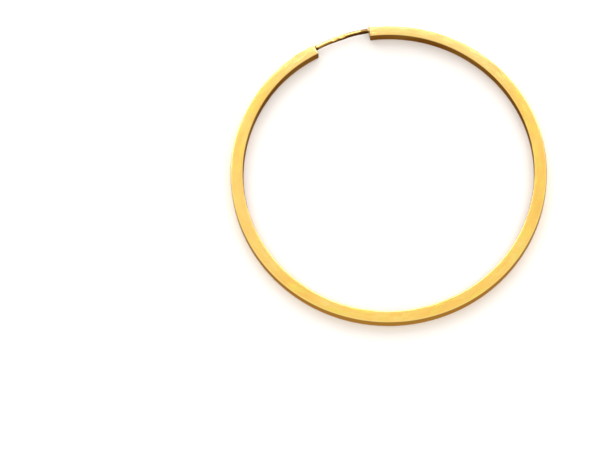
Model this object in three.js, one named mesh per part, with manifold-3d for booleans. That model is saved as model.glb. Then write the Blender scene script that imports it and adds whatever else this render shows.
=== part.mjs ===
// A plain endless hoop earring: a hollow square tube bent into a ring with a gap, and the
// round ear wire that bridges the gap. Millimetres, +Z up. The hoop lies on its side on z = 0,
// with its centre on the Z axis and its gap towards +Y. Angles run clockwise from +Y, seen
// from above, and lengths along the ring are measured on the tube's centre line.

import * as THREE from 'three';
import { mergeVertices } from 'three/addons/utils/BufferGeometryUtils.js';
import Module from 'manifold-3d';

const wasm = await Module();
wasm.setup();

// Driving dimensions of the square tube
const hoopDiameter = 50;          // over the outside of the tube
const tubeWidth = 2;              // side of the square section
const tubeWall = 0.2;             // thickness of the sheet that the tube is drawn from
const tubeCornerRadius = 0.3;     // along the four long edges
const gapLength = 9.2;            // from one end of the tube to the other
const tubeEndRounding = 0.1;      // on the rim of both tube ends
const openEndInset = 0.2;         // how far the open end is bent in from the true circle
const openEndBend = 10;           // the stretch of tube over which it bends in

// Driving dimensions of the ear wire
const wireDiameter = 0.75;
const wireClearance = 0.075;      // to the outer wall of the tube, at both ends
const wireDip = 0.05;             // how far it is bent inwards between the plier marks
const wireDipPlace = 0.46;        // the middle of that bend, as a share of the gap from the open end
const wireDipReach = 0.28;        // the bend's length to either side, as a share of the gap
const freeEndLength = 5.5;        // the stretch that sits in the open end of the tube
const tipLength = 0.5;            // the rounded point of the free end

// Plier marks, which press the wire flat from above and below. The place is a share of the gap
// from the open end, and the other columns are shares of the wire's diameter.
const plierMarks = [
  { place: 0.39, length: 1.5, depth: 0.12 },
  { place: 0.53, length: 1.5, depth: 0.12 },
];
const spreadShare = 0.5;          // how much of the pressed depth the wire gains in width

// Driving dimensions of the plug that closes one end of the tube and holds the wire
const plugLength = 3;
const plugClearance = 0.04;       // to the tube's walls
const plugCornerRadius = 0.15;
const plugEndRounding = 0.08;
const plugRecess = 0.05;          // behind the rim of the tube
const wireRootDepth = 2;          // how deep the wire is let into the plug
const solderFillet = 0.07;        // round the wire's root, on the plug's face

// The most that a rounding takes of what it is cut from
const rimShareOfWall = 0.6;
const rimShareOfCorner = 0.8;
const leastBoreCorner = 0.25;     // the bore's corner radius, as a share of the outer one

// How finely the curves are divided. A quarter arc gets two facets for each corner segment.
const ringSteps = 120;
const cornerSegments = 2;
const boreCornerSegments = 1;
const endSegments = 2;
const plugSteps = 3;
const wireSides = 16;
const wireSteps = 84;
const tipSteps = 4;
const mergeDistance = 1e-5;       // corners closer than this are one

// Worked out from the driving dimensions
const centreRadius = (hoopDiameter - tubeWidth) / 2;
const midHeight = tubeWidth / 2;
const boreWidth = tubeWidth - 2 * tubeWall;
const boreCornerRadius = Math.max(tubeCornerRadius - tubeWall, leastBoreCorner * tubeCornerRadius);
const ringLength = 2 * Math.PI * centreRadius;
const tubeLength = ringLength - gapLength;
const wireRadius = wireDiameter / 2;
const wireOffset = boreWidth / 2 - wireClearance - wireRadius;

// Along the ring, counted clockwise from the middle of the gap
const closedEnd = gapLength / 2;
const openEnd = -gapLength / 2;
const boreOverrun = gapLength / 8;
const plugFace = closedEnd + plugRecess;
const wireTip = openEnd - freeEndLength;
const wireRoot = plugFace + wireRootDepth;

// A square outline with rounded corners, centred on the origin
function roundedSquare(width, radius) {
  const half = width / 2;
  const inner = half - radius;
  const shape = new THREE.Shape();
  shape.moveTo(-inner, -half);
  shape.lineTo(inner, -half);
  shape.absarc(inner, -inner, radius, -Math.PI / 2, 0, false);
  shape.lineTo(half, inner);
  shape.absarc(inner, inner, radius, 0, Math.PI / 2, false);
  shape.lineTo(-inner, half);
  shape.absarc(-inner, inner, radius, Math.PI / 2, Math.PI, false);
  shape.lineTo(-half, -inner);
  shape.absarc(-inner, -inner, radius, Math.PI, Math.PI * 1.5, false);
  return shape;
}

// A straight square bar along +Z, from start to start + length, with its end rims rounded.
// The rims' rounding stays smaller than the corners', so the end outline keeps its corners.
function squareBar({ width, cornerRadius, curveSegments, start, length, steps, endRounding = 0 }) {
  const rounding = Math.min(endRounding, cornerRadius * rimShareOfCorner);
  const geometry = new THREE.ExtrudeGeometry(roundedSquare(width, cornerRadius), {
    depth: length - 2 * rounding,
    steps,
    curveSegments,
    bevelEnabled: rounding > 0,
    bevelThickness: rounding,
    bevelSize: rounding,
    bevelOffset: -rounding,
    bevelSegments: endSegments,
  });
  return geometry.translate(0, 0, start + rounding);
}

// How far in from the true circle a place lies. The tube bends in more and more up to its open
// end, and across the gap the wire comes back evenly.
function insetAlong(along) {
  const behind = THREE.MathUtils.euclideanModulo(openEnd - along, ringLength);
  if (behind < openEndBend) return openEndInset * (1 - behind / openEndBend) ** 2;
  return openEndInset * Math.max(0, 1 - (ringLength - behind) / gapLength);
}

// Bends a straight piece round the ring. Its X becomes the way out from the ring's centre,
// its Y becomes height, and its Z becomes the length along the ring.
function bendRound(geometry) {
  const position = geometry.attributes.position;
  for (let i = 0; i < position.count; i += 1) {
    const radius = centreRadius + position.getX(i) - insetAlong(position.getZ(i));
    const angle = position.getZ(i) / centreRadius;
    const height = midHeight + position.getY(i);
    position.setXYZ(i, radius * Math.sin(angle), radius * Math.cos(angle), height);
  }
  return geometry;
}

// A closed geometry as a solid, with shared corners merged and empty triangles left out
function toSolid(geometry) {
  const bare = geometry.clone();
  bare.deleteAttribute('normal');
  bare.deleteAttribute('uv');
  const merged = mergeVertices(bare, mergeDistance);
  const index = merged.index.array;
  const triangles = [];
  for (let i = 0; i < index.length; i += 3) {
    const [a, b, c] = [index[i], index[i + 1], index[i + 2]];
    if (a !== b && b !== c && c !== a) triangles.push(a, b, c);
  }
  return new wasm.Manifold(new wasm.Mesh({
    numProp: 3,
    vertProperties: new Float32Array(merged.attributes.position.array),
    triVerts: new Uint32Array(triangles),
  }));
}

function toMesh(name, solid, material) {
  const { vertProperties, triVerts } = solid.getMesh();
  const geometry = new THREE.BufferGeometry();
  geometry.setAttribute('position', new THREE.BufferAttribute(vertProperties, 3));
  geometry.setIndex(new THREE.BufferAttribute(triVerts, 1));
  geometry.computeVertexNormals();
  const mesh = new THREE.Mesh(geometry, material);
  mesh.name = name;
  return mesh;
}

// The tube: a rounded square bar bent round the ring, with a square bore right through it
function hoopTube() {
  const outside = squareBar({
    width: tubeWidth,
    cornerRadius: tubeCornerRadius,
    curveSegments: cornerSegments,
    start: closedEnd,
    length: tubeLength,
    steps: ringSteps,
    endRounding: Math.min(tubeEndRounding, tubeWall * rimShareOfWall),
  });
  const bore = squareBar({
    width: boreWidth,
    cornerRadius: boreCornerRadius,
    curveSegments: boreCornerSegments,
    start: closedEnd - boreOverrun,
    length: tubeLength + 2 * boreOverrun,
    steps: ringSteps,
  });
  return toSolid(bendRound(outside)).subtract(toSolid(bendRound(bore)));
}

// The plug: a short block that fills the bore at the closed end
function plug() {
  return toSolid(bendRound(squareBar({
    width: boreWidth - 2 * plugClearance,
    cornerRadius: plugCornerRadius,
    curveSegments: boreCornerSegments,
    start: plugFace,
    length: plugLength,
    steps: plugSteps,
    endRounding: plugEndRounding,
  })));
}

// The wire's radius at a place along the ring, wider where solder fills the corner at the plug
function radiusAlong(along) {
  const distance = plugFace - along;
  if (distance < 0 || distance > solderFillet) return wireRadius;
  const rise = solderFillet - distance;
  return wireRadius + solderFillet - Math.sqrt(solderFillet ** 2 - rise ** 2);
}

// How near a place is to the middle of a plier mark: 1 at the middle, 0 past the mark's ends
function nearness(along, mark) {
  const middle = openEnd + mark.place * gapLength;
  const reach = (mark.length * wireDiameter) / 2;
  return Math.max(0, 1 - ((along - middle) / reach) ** 2);
}

// How deep the pliers pressed at a place, as a share of the wire's diameter
function pressAlong(along) {
  return Math.max(...plierMarks.map((mark) => mark.depth * Math.sqrt(nearness(along, mark))));
}

// How far out from the tube's centre line the wire runs at a place
function offsetAlong(along) {
  const fromDip = ((along - openEnd) / gapLength - wireDipPlace) / wireDipReach;
  return wireOffset - wireDip * Math.max(0, 1 - fromDip ** 2) ** 2;
}

// The wire: a lathe-turned pin with a rounded tip, pressed at the plier marks and bent round
function wire() {
  const profile = [];
  for (let i = 0; i < tipSteps; i += 1) {
    const turn = (i / tipSteps) * (Math.PI / 2);
    const along = wireTip + tipLength * (1 - Math.cos(turn));
    profile.push(new THREE.Vector2(wireRadius * Math.sin(turn), along));
  }
  const shankStart = wireTip + tipLength;
  for (let i = 0; i <= wireSteps; i += 1) {
    const along = shankStart + ((wireRoot - shankStart) * i) / wireSteps;
    profile.push(new THREE.Vector2(radiusAlong(along), along));
  }
  profile.push(new THREE.Vector2(0, wireRoot));
  const geometry = new THREE.LatheGeometry(profile, wireSides).rotateX(Math.PI / 2);
  const position = geometry.attributes.position;
  for (let i = 0; i < position.count; i += 1) {
    const along = position.getZ(i);
    const press = pressAlong(along);
    const limit = radiusAlong(along) * (1 - 2 * press);
    position.setX(i, position.getX(i) * (1 + spreadShare * press) + offsetAlong(along));
    position.setY(i, THREE.MathUtils.clamp(position.getY(i), -limit, limit));
  }
  return toSolid(bendRound(geometry));
}

const tubeGold = new THREE.MeshStandardMaterial({ color: 0xe2ad45, metalness: 1, roughness: 0.3 });
const wireGold = new THREE.MeshStandardMaterial({ color: 0xdba23e, metalness: 1, roughness: 0.25 });

const earring = new THREE.Group();
earring.add(toMesh('hoop_tube', hoopTube(), tubeGold));
earring.add(toMesh('ear_wire', plug().add(wire()), wireGold));

export default earring;
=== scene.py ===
"""A plain endless hoop earring of square gold tube, lying on its side on a pale floor.

It runs in Blender 4.5, in metres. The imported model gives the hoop's size and place.
"""

import math

import bpy
import numpy as np
from mathutils import Matrix, Vector


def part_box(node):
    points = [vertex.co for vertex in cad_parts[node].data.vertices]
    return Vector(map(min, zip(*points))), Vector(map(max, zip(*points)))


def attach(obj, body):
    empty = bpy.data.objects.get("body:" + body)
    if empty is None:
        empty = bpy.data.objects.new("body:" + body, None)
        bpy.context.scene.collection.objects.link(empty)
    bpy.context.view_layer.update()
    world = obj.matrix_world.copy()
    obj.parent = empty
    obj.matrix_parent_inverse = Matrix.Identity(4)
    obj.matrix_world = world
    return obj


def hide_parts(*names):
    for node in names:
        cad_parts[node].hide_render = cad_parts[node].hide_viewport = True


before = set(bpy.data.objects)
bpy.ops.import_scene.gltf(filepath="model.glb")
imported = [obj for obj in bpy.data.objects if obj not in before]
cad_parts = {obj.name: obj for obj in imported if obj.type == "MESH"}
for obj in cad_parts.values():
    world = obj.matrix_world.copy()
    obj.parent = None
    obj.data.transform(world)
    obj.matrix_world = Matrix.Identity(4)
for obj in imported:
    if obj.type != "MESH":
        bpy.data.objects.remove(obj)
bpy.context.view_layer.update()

# The camera looks down on the hoop through a long lens, from across the gap and a little from
# the left, and is tipped slightly on its own axis. It is aimed so that the middle of the hoop
# falls where the photograph has it, up and to the right of the middle of the picture.
view_bearing = math.radians(197.3)
view_rise = math.radians(71.05)
view_distance = 0.600
camera_roll = math.radians(1.1)
picture_size = np.array([600.0, 450.0])
hoop_middle_px = np.array([388.6, 175.3])
focal_px = 3782.0


def towards(bearing, rise):
    """The direction from the hoop's middle to a place: the bearing turns clockwise from +Y,
    seen from above, and the rise is the angle above the floor."""
    return Vector((
        math.sin(bearing) * math.cos(rise), math.cos(bearing) * math.cos(rise), math.sin(rise),
    ))


camera_data = bpy.data.cameras.new("camera")
camera_data.sensor_width = 36.0
camera_data.lens = focal_px / picture_size[0] * camera_data.sensor_width
camera_data.clip_start = 0.01
camera_data.clip_end = 10.0
camera = bpy.data.objects.new("camera", camera_data)
bpy.context.scene.collection.objects.link(camera)
bpy.context.scene.camera = camera

towards_camera = towards(view_bearing, view_rise)
upright = towards_camera.to_track_quat("Z", "Y").to_matrix() @ Matrix.Rotation(-camera_roll, 3, "Z")
off_px = hoop_middle_px - picture_size / 2
off_middle = upright @ Vector((off_px[0], -off_px[1], 0)) * (view_distance / focal_px)
camera_back = (towards_camera * view_distance + off_middle).normalized()
camera_up = camera_back.cross(upright.col[0]).normalized()
camera_right = camera_up.cross(camera_back)
camera.matrix_world = (
    Matrix.Translation(towards_camera * view_distance)
    @ Matrix((camera_right, camera_up, camera_back)).transposed().to_4x4()
)

# The hoop is a length of square tube, drawn from thin gold sheet and bent round a former. Both
# ends are sawn square and their rims softened with a file. It is hollow right through, and it
# was polished by hand, so its corners are a little uneven and its faces slightly crowned.
_, tube_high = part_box("hoop_tube")
hoop_radius = tube_high.x
tube_width = tube_high.z
tube_wall = 0.0002
tube_corner_radius = 0.00012
bore_corner_radius = 0.0001
tube_crown = 0.038
corner_unevenness = 0.16
rim_rounding = 0.0001
bore_rim_rounding = 0.00004
centre_radius = hoop_radius - tube_width / 2
half_gap = math.acos(tube_high.y / hoop_radius) - rim_rounding / centre_radius
first_end = half_gap * centre_radius
ring_length = 2 * math.pi * centre_radius
last_end = ring_length - first_end
open_end_inset = 0.0002
open_end_bend = 0.010
outside_steps = 720
bore_steps = 240


def square_section(half_width, corner_radii, corner_steps=7, flat_steps=8):
    """Points of a rounded square for each row, as (outward, height) from its middle.

    It starts on the bottom side and runs round by the outer, top and inner sides. On a side
    that faces n and runs along t, a flat point is n times the half width plus t times a way
    from corner to corner, closer together near the corners. A corner's centre lies its radius
    short of both sides, and its arc turns from n to t.
    """
    half = np.atleast_1d(half_width)[:, None]
    sides = []
    for side in range(4):
        facing = (side - 1) * math.pi / 2
        n = np.array([math.cos(facing), math.sin(facing)])
        t = np.array([-n[1], n[0]])
        before, after = half - corner_radii[:, side - 1, None], half - corner_radii[:, side, None]
        share = (1 + np.sin(np.linspace(-1, 1, flat_steps, endpoint=False) * math.pi / 2)) / 2
        way = (after + before) * share - before
        swing = np.linspace(0, math.pi / 2, corner_steps, endpoint=False)
        out = np.concatenate([half + 0 * way, after + (half - after) * np.cos(swing)], 1)
        on = np.concatenate([way, after + (half - after) * np.sin(swing)], 1)
        sides.append(out[..., None] * n + on[..., None] * t)
    return np.concatenate(sides, 1)


def crowned(section, half_width, crown):
    """The section with its sides falling off towards the corners: each coordinate shrinks by a
    crown times the fourth power of how far along its side the point lies. The upright walls
    have half the crown of the top and the bottom."""
    share = section[..., ::-1] / np.atleast_1d(half_width)[:, None, None]
    return section * (1 - np.array([crown / 2, crown]) * share**4)


def unevenness(along, seed, lengths=(0.011, 0.0067, 0.0041)):
    """A slow rise and fall along the ring, from -1 to 1: the mean of three sines of the given
    wave lengths, each with a phase drawn from the seed."""
    phases = np.random.default_rng(seed).uniform(0, 2 * math.pi, len(lengths))
    return np.mean([np.sin(2 * math.pi * along / n + p) for n, p in zip(lengths, phases)], 0)


def bent_in(along):
    """How far in from the true circle a place lies. Behind the open end it is a square that
    falls to nothing over the bend's length, and across the gap it fades evenly."""
    behind = (-first_end - along) % ring_length
    tube_part = open_end_inset * np.maximum(0, 1 - behind / open_end_bend) ** 2
    gap_part = open_end_inset * (1 - (ring_length - behind) / (2 * first_end))
    return np.maximum(tube_part, gap_part)


def bend(along, section):
    """Points on the ring: the angle clockwise from +Y is the length along over the centre
    radius. The distance from the ring's axis is the centre radius plus the way outward, less
    what the ring is bent in there. Heights count from the middle of the tube."""
    angle = along[:, None] / centre_radius
    radius = centre_radius + section[..., 0] - bent_in(along)[:, None]
    height = tube_width / 2 + section[..., 1]
    return np.stack([radius * np.sin(angle), radius * np.cos(angle), height], -1)


def grid_mesh(name, points, closed_rows):
    """A mesh of four-sided faces on a grid of points, rows by columns. Columns close on
    themselves. Rows do too if closed_rows is set, and otherwise the first and the last row are
    each closed to a pole at their mean."""
    rows, columns = points.shape[:2]
    ids = np.arange(rows * columns).reshape(rows, columns)
    these = ids if closed_rows else ids[:-1]
    those = np.roll(ids, -1, axis=0) if closed_rows else ids[1:]
    quads = np.stack([these, np.roll(these, -1, 1), np.roll(those, -1, 1), those], -1)
    corners = points.reshape(-1, 3)
    faces = quads.reshape(-1, 4).tolist()
    if not closed_rows:
        first, last = len(corners), len(corners) + 1
        corners = np.concatenate([corners, [points[0].mean(0), points[-1].mean(0)]])
        start = np.stack([np.full(columns, first), np.roll(ids[0], -1), ids[0]], -1)
        end = np.stack([np.full(columns, last), ids[-1], np.roll(ids[-1], -1)], -1)
        faces += start.tolist() + end.tolist()
    mesh = bpy.data.meshes.new(name)
    mesh.from_pydata(corners.tolist(), [], faces)
    mesh.shade_smooth()
    return mesh


def paint(mesh, name, values):
    """Keeps a number or a vector for each point of a grid as an attribute of its mesh. A pole
    takes the mean of its row."""
    rows = values.reshape(*values.shape[:2], -1)
    flat = rows.reshape(-1, rows.shape[-1])
    if len(mesh.vertices) > len(flat):
        flat = np.concatenate([flat, [rows[0].mean(0), rows[-1].mean(0)]])
    kind, key = ("FLOAT", "value") if flat.shape[-1] == 1 else ("FLOAT_VECTOR", "vector")
    attribute = mesh.attributes.new(name, kind, "POINT")
    attribute.data.foreach_set(key, flat.astype(np.float32).ravel())


def unrolled(along, section):
    """Where each point lies for the patterns, in millimetres: its length along the ring, and
    how far outward and how high it is from the middle of the tube."""
    return np.concatenate([along[:, None, None] + 0 * section[..., :1], section], -1) * 1000


def ease(value, start, end):
    """0 up to start and 1 from end on, with a smooth cubic rise between them."""
    share = np.clip((value - start) / (end - start), 0, 1)
    return share * share * (3 - 2 * share)


def rim(rounding, steps=4):
    """A quarter of a circle in even turns: how far along it has come, and how far it has sunk."""
    turn = np.linspace(0, math.pi / 2, steps)
    return rounding * np.sin(turn), rounding * (1 - np.cos(turn))


def tube_path():
    """The closed way that the wall takes along the ring: over the outside from one end to the
    other, round the far rim, back through the bore and round the near rim. Each row has its
    length along the ring and its inset from the outside."""
    out_on, out_sink = rim(rim_rounding)
    bore_on, bore_sink = rim(bore_rim_rounding)
    outside = np.linspace(first_end + rim_rounding, last_end - rim_rounding, outside_steps)
    bore = np.linspace(last_end - bore_rim_rounding, first_end + bore_rim_rounding, bore_steps)
    along = np.concatenate([
        outside[:-1], last_end - rim_rounding + out_on,
        (last_end - bore_rim_rounding + bore_on)[::-1],
        bore[1:-1], first_end + bore_rim_rounding - bore_on,
        (first_end + rim_rounding - out_on)[::-1][:-1],
    ])
    inset = np.concatenate([
        0 * outside[:-1], out_sink, (tube_wall - bore_sink)[::-1],
        0 * bore[1:-1] + tube_wall, tube_wall - bore_sink, out_sink[::-1][:-1],
    ])
    return along, inset


def set_down(name, data):
    """Puts a mesh or a light into the scene as an object at the origin, unturned, unscaled."""
    piece = bpy.data.objects.new(name, data)
    bpy.context.scene.collection.objects.link(piece)
    return piece


along, inset = tube_path()
swelling = np.stack([unevenness(along, seed) for seed in (11, 12, 13, 14)], -1)
corner_radii = tube_corner_radius * (1 + corner_unevenness * swelling)
corner_radii = np.maximum(corner_radii - inset[:, None], bore_corner_radius)
half_width = tube_width / 2 - inset
section = crowned(square_section(half_width, corner_radii), half_width, tube_crown)
tube_mesh = grid_mesh("hoop_tube_finished", bend(along, section), True)
tube = set_down("hoop_tube_finished", tube_mesh)

# Where the marks of making and wearing lie on it: worn paler along the corners, and rougher on
# the rims, on the two walls, which a polishing wheel hardly reaches, and in the bore, which it
# never does. Painted shade darkens the walls, mostly the inner one, and the rims. A painted
# highlight makes the gold paler to both sides of the gap and on the outer wall, and it is
# faintly paler along the left.
rim_reach = (0.0001, 0.0004)
wall_edge = (0.8, 0.97)
corner_edge = (0.62, 0.9)
across = section / half_width[:, None, None]
to_end = np.minimum(along - first_end, last_end - along)[:, None]
on_rim = 1 - ease(to_end, *rim_reach)
on_corner = ease(np.abs(across).min(-1), *corner_edge)
inner_wall = ease(-across[..., 0], *wall_edge)
outer_wall = ease(across[..., 0], *wall_edge)
in_bore = ease(inset, 0.6 * tube_wall, 0.9 * tube_wall)[:, None] + 0 * inner_wall
# Painted shade on the walls, mostly the inner one, and on the rims; the same share makes them
# rougher.
rough_shaded_places = np.maximum(np.maximum(inner_wall, 0.15 * outer_wall), 0.55 * on_rim)
round_ring = np.degrees(along / centre_radius)
# A painted highlight beside the gap and on the outer wall; along the left the gold is only faintly
# paler.
beside_gap = np.maximum(1 - ease(round_ring, 52, 82), ease(round_ring, 318, 345))
on_left = ease(round_ring, 235, 262) * (1 - ease(round_ring, 275, 300))
pale_and_highlight_stretch = np.maximum(beside_gap, 0.35 * on_left)[:, None]
paint(tube_mesh, "on_tube", unrolled(along, section))
paint(tube_mesh, "worn", on_corner * (1 - on_rim) * (1 - in_bore))
paint(tube_mesh, "dull_and_shaded", rough_shaded_places * (1 - in_bore))
paint(tube_mesh, "in_bore", in_bore)
paint(tube_mesh, "pale", np.maximum(pale_and_highlight_stretch, 0.6 * outer_wall))

# The gold's colours: cloudy where it is polished, paler where it is worn, paler still under a
# painted highlight, brown as painted shade on the walls and rims, and brown in the bore.
cloudy_gold = [
    (0.30, (0.93, 0.56, 0.120)), (0.45, (0.96, 0.615, 0.145)),
    (0.58, (0.98, 0.66, 0.165)), (0.72, (0.97, 0.70, 0.20)),
]
reddish_gold = (0.95, 0.55, 0.110, 1)
lemon_gold = (0.91, 0.69, 0.125, 1)
pale_highlight_gold = (0.98, 0.67, 0.225, 1)
specked_gold = (0.86, 0.52, 0.13, 1)
worn_gold = (0.99, 0.72, 0.25, 1)
painted_shade_brown = (0.22, 0.075, 0.01, 1)
bore_brown = (0.30, 0.17, 0.06, 1)
grazing_gold = (1.0, 0.75, 0.42, 1)


def add_node(tree, kind, inputs=None, **settings):
    """Adds a shader node. The settings are its own options. An input is linked where a socket
    is given for it, and set where a value is."""
    made = tree.nodes.new("ShaderNode" + kind)
    for name, value in settings.items():
        setattr(made, name, value)
    for name, value in (inputs or {}).items():
        if isinstance(value, bpy.types.NodeSocket):
            tree.links.new(value, made.inputs[name])
        else:
            made.inputs[name].default_value = value
    return made


def painted(tree, name, output="Fac"):
    """What was painted on the mesh under that name."""
    return add_node(tree, "Attribute", attribute_name=name).outputs[output]


def ramp(tree, factor, stops):
    """A colour ramp through the given stops, each a place from 0 to 1 and a colour or a grey."""
    made = add_node(tree, "ValToRGB", {"Fac": factor})
    elements = made.color_ramp.elements
    for place, _ in stops[1:-1]:
        elements.new(place)
    elements[0].position, elements[-1].position = stops[0][0], stops[-1][0]
    for element, (_, tone) in zip(elements, stops):
        element.color = (*tone, 1) if isinstance(tone, tuple) else (tone, tone, tone, 1)
    return made.outputs["Color"]


def mix(tree, factor, first, second, blend_type="MIX"):
    """A colour between the first, at factor 0, and the second, at factor 1."""
    sockets = {0: factor, 6: first, 7: second}
    return add_node(tree, "Mix", sockets, data_type="RGBA", blend_type=blend_type).outputs[2]


def times(tree, first, second):
    """The product of two numbers."""
    return add_node(tree, "Math", {0: first, 1: second}, operation="MULTIPLY").outputs[0]


def add_up(tree, total, *shares):
    """A number plus each of the given values times its share."""
    for value, share in shares:
        made = add_node(tree, "Math", {0: value, 1: share, 2: total}, operation="MULTIPLY_ADD")
        total = made.outputs[0]
    return total


def grain(tree, place, stretch, turn=0.0, detail=3.0):
    """Noise whose cells have the given sizes in millimetres, after a turn in degrees about the
    way up."""
    at = add_node(tree, "Mapping", {
        "Vector": place, "Rotation": (0, 0, math.radians(turn)),
        "Scale": tuple(1 / n for n in stretch),
    })
    return add_node(tree, "TexNoise", {
        "Vector": at.outputs[0], "Scale": 1.0, "Detail": detail,
    }).outputs["Fac"]


def relief(tree, *layers):
    """Bumps one over the other, each a height from 0 to 1 and how far that stands out, in
    metres. A height with a negative figure is cut in."""
    inputs = {}
    for height, rise in layers:
        inputs.update({"Height": height, "Strength": 1.0, "Distance": abs(rise)})
        inputs["Normal"] = add_node(tree, "Bump", inputs, invert=rise < 0).outputs[0]
    return inputs["Normal"]


def make_metal(tree, tone, rough, normal):
    """Gives the colour, roughness and relief to a metal that turns paler at a grazing look."""
    shader = tree.nodes["Principled BSDF"]
    shader.inputs["Metallic"].default_value = 1.0
    shader.inputs["Specular Tint"].default_value = grazing_gold
    tree.links.new(tone, shader.inputs["Base Color"])
    tree.links.new(rough, shader.inputs["Roughness"])
    tree.links.new(normal, shader.inputs["Normal"])


tube_gold = bpy.data.materials.new("tube_gold")
tube_gold.use_nodes = True
tree = tube_gold.node_tree
on_tube = painted(tree, "on_tube", "Vector")
worn = painted(tree, "worn")
dull_and_shaded = painted(tree, "dull_and_shaded")
bore = painted(tree, "in_bore")
pale = painted(tree, "pale")
cloud = grain(tree, on_tube, (7.0, 2.2, 2.2))
blotch = grain(tree, on_tube, (2.1, 0.9, 0.9))
lemon = grain(tree, on_tube, (3.3, 1.2, 1.2), turn=-17, detail=1.0)
speck = grain(tree, on_tube, (0.3, 0.22, 0.22), detail=2.0)
drawn = grain(tree, on_tube, (9.0, 0.05, 0.05), detail=4.0)
brushed = grain(tree, on_tube, (1.1, 0.06, 0.06), turn=9)
scratches = [grain(tree, on_tube, (3.0, 0.09, 0.4), turn=turn, detail=1.0) for turn in (31, -24)]
hairlines = [ramp(tree, scratch, [(0.66, 0.0), (0.72, 1.0)]) for scratch in scratches]
hair = mix(tree, 1.0, *hairlines, blend_type="LIGHTEN")

tone = ramp(tree, cloud, cloudy_gold)
tone = mix(tree, ramp(tree, blotch, [(0.4, 0.0), (0.65, 0.7)]), tone, reddish_gold)
tone = mix(tree, ramp(tree, lemon, [(0.5, 0.0), (0.68, 0.75)]), tone, lemon_gold)
# Painted highlight: paler gold beside the gap and on the outer wall, and faintly paler along the
# left.
tone = mix(tree, times(tree, pale, 0.85), tone, pale_highlight_gold)
tone = mix(tree, ramp(tree, speck, [(0.55, 0.0), (0.75, 0.2)]), tone, specked_gold)
tone = mix(tree, times(tree, worn, 0.45), tone, worn_gold)
# Painted shade: the walls and rims turn brown.
shade_share = times(tree, dull_and_shaded, ramp(tree, cloud, [(0.3, 1.0), (0.7, 0.72)]))
tone = mix(tree, shade_share, tone, painted_shade_brown)
tone = mix(tree, bore, tone, bore_brown)
rough = add_up(
    tree, ramp(tree, blotch, [(0.3, 0.115), (0.7, 0.165)]),
    (drawn, 0.02), (dull_and_shaded, 0.2), (hair, 0.05), (worn, -0.03), (bore, 0.3),
)
make_metal(tree, tone, rough, relief(
    tree, (cloud, 5e-5), (blotch, 1e-5), (drawn, 1.5e-7), (brushed, 1e-7), (hair, -6e-7),
))
tube_mesh.materials.append(tube_gold)

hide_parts("hoop_tube")
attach(tube, "root")

# The ear wire is thin round gold wire that goes through the ear. One end is soldered to a small
# square plug, pushed into one end of the tube. The other end slides into the open end, and two
# nips of the pliers in the middle of the gap set its spring.
wire_low, wire_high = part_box("ear_wire")
wire_radius = 0.000375
wire_clearance = 0.00008
wire_offset = tube_width / 2 - tube_wall - wire_clearance - wire_radius
wire_dip = 0.00005
wire_dip_place = 0.46
wire_dip_reach = 0.28
free_end_length = 0.0055
tip_length = 0.0005
plug_half = (wire_high.z - wire_low.z) / 2
plug_corner_radius = 0.00015
plug_rounding = 0.00008
plug_recess = 0.00005
solder_fillet = 0.00007
solder_spread = 0.998
plug_face = first_end + plug_recess
plug_back = centre_radius * math.asin(wire_high.x / (centre_radius + plug_half))
wire_tip = -first_end - free_end_length
mark_places = np.array([0.39, 0.53])
mark_reach = 1.5 * wire_radius
mark_depth = 0.12
mark_spread = 0.5
tip_steps = 10
shank_steps = 330
fillet_steps = 9
face_steps = 6
plug_steps = 10


def nearness(along):
    """How near a place is to the middle of each plier mark: 1 less the square of its distance
    over the mark's reach, and never under 0."""
    middles = first_end * (2 * mark_places - 1)
    return np.maximum(0, 1 - ((along[..., None] - middles) / mark_reach) ** 2)


def wire_outline(along, unit, radius):
    """The wire's section at each place, as (outward, height) from the middle of the tube.

    A circle of the given radius gets wider by a share of the pressed depth, and its top and
    bottom are cut flat at the radius less the depth. Its middle runs outside the tube's own
    centre line, less a dip, which is the square of a parabola.
    """
    press = mark_depth * np.sqrt(nearness(along).max(-1))
    from_dip = ((along + first_end) / (2 * first_end) - wire_dip_place) / wire_dip_reach
    middle = wire_offset - wire_dip * np.maximum(0, 1 - from_dip**2) ** 2
    wide = (radius * (1 + mark_spread * press))[:, None] * unit[:, 0]
    flat = (radius * (1 - 2 * press))[:, None]
    tall = np.clip(radius[:, None] * unit[:, 1], -flat, flat)
    return np.stack([middle[:, None] + wide, tall], -1)


def plug_outline(sink):
    """The plug's rounded square, shrunk by the given sink on all sides, for each row."""
    radii = np.maximum(plug_corner_radius - sink, plug_rounding / 2)[:, None].repeat(4, 1)
    return square_section(plug_half - sink, radii, corner_steps=3, flat_steps=12)


# The wire swells from its tip to its full thickness, and again over the solder at its root,
# which ends just short of the rim of the plug.
tip_turn = np.linspace(0, math.pi / 2, tip_steps)[1:-1]
fillet_turn = np.linspace(0, math.pi / 2, fillet_steps)[1:]
wire_along = np.concatenate([
    wire_tip + tip_length * (1 - np.cos(tip_turn)),
    np.linspace(wire_tip + tip_length, plug_face - solder_fillet, shank_steps),
    plug_face - solder_fillet * (1 - np.sin(fillet_turn)),
])
wire_radii = np.concatenate([
    wire_radius * np.sin(tip_turn),
    np.full(shank_steps, wire_radius),
    wire_radius + solder_fillet * (1 - np.cos(fillet_turn)),
])
face_edge = plug_outline(np.array([plug_rounding]))[0]
unit = face_edge / np.linalg.norm(face_edge, axis=-1, keepdims=True)
wire_rows = wire_outline(wire_along, unit, wire_radii)
wire_rows[..., 0] = np.minimum(wire_rows[..., 0], solder_spread * (plug_half - plug_rounding))

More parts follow.
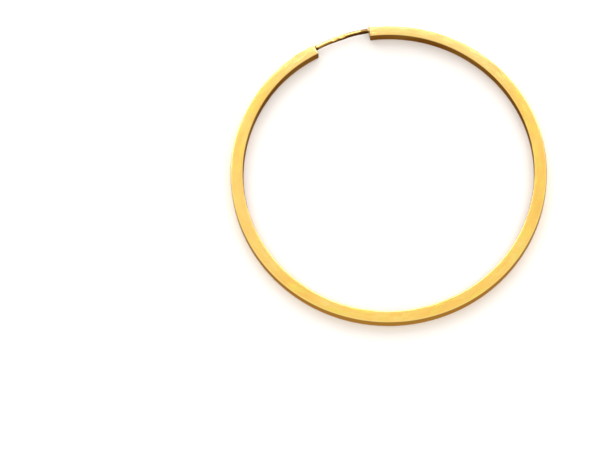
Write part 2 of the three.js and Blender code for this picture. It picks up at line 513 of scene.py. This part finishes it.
# The plug's face spreads from the solder's edge to its own rim, and its back closes in.
growth = np.linspace(0, 1, face_steps)[1:-1, None, None]
face_rows = wire_rows[-1] * (1 - growth) + face_edge * growth
round_on, round_sink = rim(plug_rounding, 5)
body = np.linspace(plug_face + plug_rounding, plug_back - plug_rounding, plug_steps)
plug_along = np.concatenate([
    (plug_face + plug_rounding - round_on)[::-1], body[1:-1], plug_back - plug_rounding + round_on,
])
plug_sink = np.concatenate([round_sink[::-1], 0 * body[1:-1], round_sink])
back_rows = face_edge * np.array([0.75, 0.5, 0.25])[:, None, None]
all_rows = np.concatenate([wire_rows, face_rows, plug_outline(plug_sink), back_rows])
all_along = np.concatenate([
    wire_along, np.full(len(face_rows), plug_face), plug_along, np.full(len(back_rows), plug_back),
])
wire_mesh = grid_mesh("ear_wire_finished", bend(all_along, all_rows), False)
wire = set_down("ear_wire_finished", wire_mesh)

# Painted shade darkens it towards its root, at the root itself, farther along on its inner side,
# and where it enters the tube. The pliers left it brighter, and the solder is pale.
on_grid = 0 * all_rows[..., 0]
to_face = np.abs(all_along - plug_face)[:, None] + on_grid
pressed = np.sqrt(nearness(all_along).max(-1))[:, None] + on_grid
# Painted shade along the wire, at the mouth of the tube and at the root.
towards_root = 0.75 * ease(all_along, -first_end, first_end)
at_mouth = 1 - ease(np.abs(all_along + first_end), 0.0002, 0.0008)
from_root = np.abs(all_along - first_end)[:, None] + 0.0004 * unit[:, 0]
at_root = 1 - ease(from_root, 0.0011, 0.0026)
paint(wire_mesh, "on_wire", unrolled(all_along, all_rows))
paint(wire_mesh, "pressed", pressed)
paint(wire_mesh, "wire_shade", np.maximum(np.maximum(towards_root, at_mouth)[:, None], at_root))
paint(wire_mesh, "inward", ease(-unit[:, 0], 0.0, 0.7) + on_grid)
paint(wire_mesh, "soldered", 1 - ease(to_face, 0.0001, 0.0004))

shading_wire_gold = [
    (0.0, (0.80, 0.50, 0.13)), (0.375, (0.62, 0.36, 0.09)),
    (0.75, (0.42, 0.21, 0.05)), (1.0, (0.26, 0.12, 0.025)),
]
bright_wire_gold = (0.88, 0.58, 0.16, 1)
specked_wire_gold = (0.45, 0.24, 0.06, 1)
pressed_gold = (0.93, 0.60, 0.16, 1)
inner_side_shade = (0.09, 0.030, 0.004, 1)
root_shade_brown = (0.10, 0.045, 0.008, 1)
solder_gold = (0.93, 0.72, 0.38, 1)

wire_gold = bpy.data.materials.new("wire_gold")
wire_gold.use_nodes = True
tree = wire_gold.node_tree
on_wire = painted(tree, "on_wire", "Vector")
pressed = painted(tree, "pressed")
soldered = painted(tree, "soldered")
wire_shade = painted(tree, "wire_shade")
inward = painted(tree, "inward")
cloud = grain(tree, on_wire, (2.4, 1.1, 1.1))
speck = grain(tree, on_wire, (0.22, 0.16, 0.16), detail=2.0)
drawn = grain(tree, on_wire, (5.0, 0.035, 0.035), detail=4.0)
bite = times(tree, grain(tree, on_wire, (0.05, 0.6, 0.6), turn=12, detail=1.0), pressed)
# Painted shade: the gold darkens towards the root.
tone = ramp(tree, wire_shade, shading_wire_gold)
tone = mix(tree, ramp(tree, cloud, [(0.35, 0.0), (0.7, 0.4)]), tone, bright_wire_gold)
tone = mix(tree, ramp(tree, speck, [(0.55, 0.0), (0.75, 0.3)]), tone, specked_wire_gold)
tone = mix(tree, times(tree, pressed, 0.3), tone, pressed_gold)
# Painted shade on the wire's inner side, deeper towards its root.
shade_share = times(tree, inward, ramp(tree, wire_shade, [(0.0, 0.4), (0.35, 0.75), (0.7, 1.0)]))
tone = mix(tree, shade_share, tone, inner_side_shade)
# Painted shade at the root, where the wire meets the plug and the tube.
tone = mix(tree, ramp(tree, wire_shade, [(0.76, 0.0), (1.0, 0.85)]), tone, root_shade_brown)
tone = mix(tree, times(tree, soldered, 0.4), tone, solder_gold)
rough = add_up(
    tree, ramp(tree, cloud, [(0.3, 0.13), (0.7, 0.2)]),
    (drawn, 0.07), (pressed, 0.05), (soldered, 0.1),
)
make_metal(tree, tone, rough, relief(tree, (drawn, 1e-6), (bite, 4e-6), (cloud, 8e-6)))
wire_mesh.materials.append(wire_gold)

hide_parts("ear_wire")
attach(wire, "root")

# The floor is a plain pale sheet under the hoop, so bright in this light that it shows white.
# The metal doesn't mirror it, since a real sheet is small and the room beyond it is dim.
floor_size = 6.0
bpy.ops.mesh.primitive_plane_add(size=floor_size)
floor = bpy.context.object
floor.name = "floor"
floor.visible_glossy = False
floor_white = bpy.data.materials.new("floor_white")
floor_white.use_nodes = True
floor_shader = floor_white.node_tree.nodes["Principled BSDF"]
floor_shader.inputs["Base Color"].default_value = (0.9, 0.9, 0.9, 1)
floor_shader.inputs["Roughness"].default_value = 0.8
floor_shader.inputs["Specular IOR Level"].default_value = 0.0
floor.data.materials.append(floor_white)

# The light is a soft tent that is brightest overhead and towards the back, with a brown dimness
# below and a dimmer patch in front. A wide bright panel behind the hoop shows in the metal
# alone, and two soft lights, behind and in front, fall on the floor alone.
tent_strength = 1.25
tent_rise = math.radians(70)
tent_tones = [
    (0.0, (0.35, 0.275, 0.20)), (0.33, (0.26, 0.205, 0.155)), (0.5, (0.44, 0.375, 0.31)),
    (0.62, (0.72, 0.68, 0.63)), (0.72, (0.88, 0.85, 0.81)), (0.85, (0.92, 0.89, 0.86)),
    (0.96, (0.80, 0.79, 0.78)), (1.0, (0.77, 0.77, 0.77)),
]
backdrop_grey = (0.72, 0.72, 0.72, 1)
patch_bearing = math.radians(195)
patch_rise = math.radians(36)
patch_core = math.radians(12)
patch_edge = math.radians(44)
patch_share = 0.4
patch_brown = (0.16, 0.105, 0.06, 1)
light_distance = 0.6
panel_bearing = math.radians(13)
panel_rise = math.radians(33.2)
glow_bearing = math.radians(180)
glow_rise = math.radians(45)


def likeness(tree, direction, way):
    """How nearly a direction goes the given way: their dot product."""
    made = add_node(tree, "VectorMath", {0: direction, 1: tuple(way)}, operation="DOT_PRODUCT")
    return made.outputs["Value"]


world = bpy.data.worlds.new("tent")
world.use_nodes = True
tree = world.node_tree
direction = add_node(tree, "TexCoord").outputs["Generated"]
upward = likeness(tree, direction, towards(view_bearing - math.pi, tent_rise))
tent = ramp(tree, add_up(tree, 0.5, (upward, 0.5)), tent_tones)
dimness = add_node(tree, "MapRange", {
    "Value": likeness(tree, direction, towards(patch_bearing, patch_rise)),
    "From Min": math.cos(patch_edge), "From Max": math.cos(patch_core),
}, interpolation_type="SMOOTHSTEP").outputs["Result"]
tent = mix(tree, times(tree, dimness, patch_share), tent, patch_brown)
tent = mix(tree, add_node(tree, "LightPath").outputs["Is Camera Ray"], tent, backdrop_grey)
tree.links.new(tent, tree.nodes["Background"].inputs["Color"])
tree.nodes["Background"].inputs["Strength"].default_value = tent_strength
bpy.context.scene.world = world


def hang(light, bearing, rise):
    """Hangs a light at a bearing and a rise, facing the hoop's middle, out of the camera's
    sight."""
    hung = set_down(light.name, light)
    hung.location = light_distance * towards(bearing, rise)
    hung.rotation_euler = Vector(hung.location).to_track_quat("Z", "Y").to_euler()
    hung.visible_camera = False
    return hung


panel = bpy.data.lights.new("back_panel", "AREA")
panel.shape = "RECTANGLE"
panel.size = 1.2
panel.size_y = 0.65
panel.energy = 14.5
panel.color = (0.92, 1.0, 1.35)
panel_hung = hang(panel, panel_bearing, panel_rise)
panel_hung.visible_diffuse = False

fill = panel.copy()
fill.name = "back_fill"
fill.energy = 6.9
fill.color = (1.0, 1.0, 1.0)
fill_hung = set_down(fill.name, fill)
panel_turn = panel_hung.rotation_euler.to_matrix().to_4x4()
fill_hung.matrix_world = Matrix.Translation(panel_hung.location) @ panel_turn
fill_hung.visible_camera = False
fill_hung.visible_glossy = False

glow = bpy.data.lights.new("front_glow", "AREA")
glow.size = 0.6
glow.energy = 1.3
glow.color = (1.0, 0.88, 0.76)
hang(glow, glow_bearing, glow_rise).visible_glossy = False
bpy.context.scene.view_settings.view_transform = "Standard"
